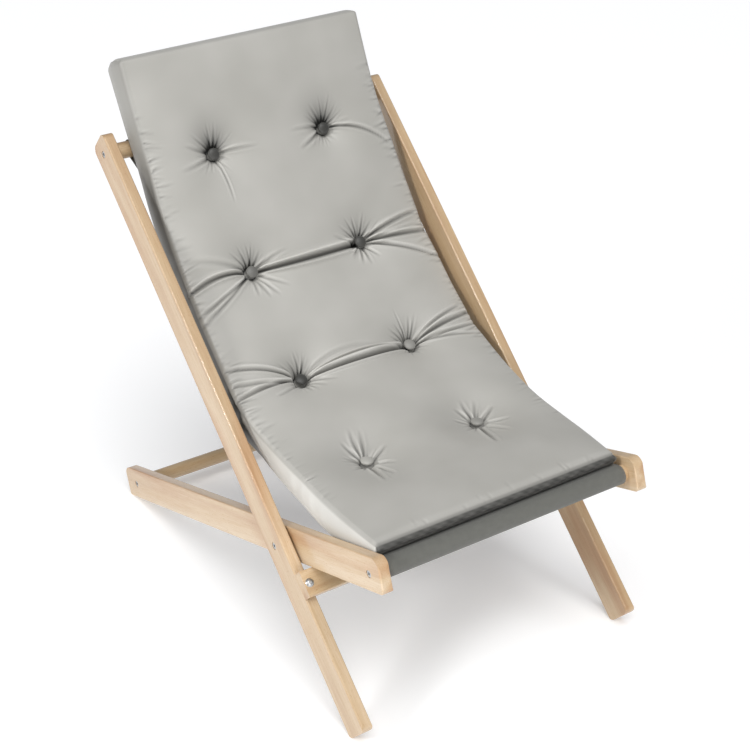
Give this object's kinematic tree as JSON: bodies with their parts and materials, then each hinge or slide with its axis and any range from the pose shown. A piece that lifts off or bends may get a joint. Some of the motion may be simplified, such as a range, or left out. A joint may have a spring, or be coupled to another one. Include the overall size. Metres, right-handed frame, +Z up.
{
  "type": "folding deck chair",
  "caption": "Folding deck chair: crossed beech frames on pivot bolts, a canvas sling between round bars and a boxed, button-tufted cushion.",
  "frame": {"origin": "on the floor under the middle of the open chair's length and width", "axes": "+Z up, -Y the way the sitter faces, +X to the sitter's left"},
  "size_m": [0.58, 0.9052, 0.9093],
  "materials": {
    "beech": "satin",
    "zinc_steel": "satin",
    "canvas": "matte",
    "velvet": "satin",
    "cord": "matte"
  },
  "bodies": {
    "back_frame": {"back_rail_left": "beech", "back_rail_right": "beech", "head_bar": "beech", "head_bar_screws": "zinc_steel", "stop_board": "beech", "stop_board_bolts": "zinc_steel", "pivot_bolt_left": "zinc_steel", "pivot_bolt_right": "zinc_steel", "pivot_spacer_left": "zinc_steel", "pivot_spacer_right": "zinc_steel", "pivot_washer_left": "zinc_steel", "pivot_washer_right": "zinc_steel", "pivot_nut_left": "zinc_steel", "pivot_nut_right": "zinc_steel", "sling": "canvas", "cushion": "velvet", "front_buttons": "velvet", "back_buttons": "velvet", "tuft_cords": "cord"},
    "seat_frame": {"seat_rail_left": "beech", "seat_rail_right": "beech", "front_bar": "beech", "front_bar_screws": "zinc_steel", "rear_bar": "beech", "rear_bar_screws": "zinc_steel"}
  },
  "joints": [
    {"name": "fold", "type": "hinge", "parent": "back_frame", "child": "seat_frame", "pos_m": [0, -0.16617, 0.24351], "axis": [-1, 0, 0], "range_deg": [0, 117], "deforming": ["sling", "cushion", "front_buttons", "back_buttons", "tuft_cords"]}
  ]
}
